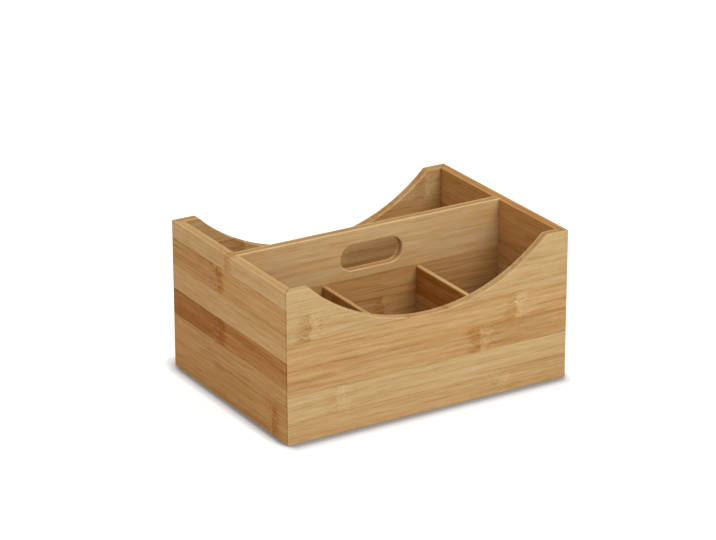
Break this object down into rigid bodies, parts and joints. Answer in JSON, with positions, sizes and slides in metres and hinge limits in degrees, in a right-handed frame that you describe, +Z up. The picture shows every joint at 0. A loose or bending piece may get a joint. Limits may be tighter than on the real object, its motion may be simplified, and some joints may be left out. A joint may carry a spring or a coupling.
{
  "type": "desk caddy",
  "caption": "Open bamboo desk caddy with scooped front and back walls, a middle board with a hand slot, small bays in front and one wide bay behind.",
  "frame": {"origin": "centre of the footprint, on the surface the caddy stands on", "axes": "+X along the width to the right, +Y from the three front bays to the wide rear bay, +Z up"},
  "size_m": [0.255, 0.182, 0.125],
  "materials": {
    "wall_board": "edge-glued bamboo strips laid flat, clear satin coat",
    "partition_board": "edge-glued bamboo strips laid flat, clear satin coat",
    "divider_board": "thin bamboo board, clear satin coat",
    "floor_board": "thin bamboo board, clear satin coat",
    "key_stock": "sawn bamboo, glued in"
  },
  "bodies": {
    "root": {"front_panel": "wall_board", "back_panel": "wall_board", "left_panel": "wall_board", "right_panel": "wall_board", "base_panel": "floor_board", "handle_partition": "partition_board", "left_divider": "divider_board", "right_divider": "divider_board", "corner_keys": "key_stock"}
  },
  "joints": []
}
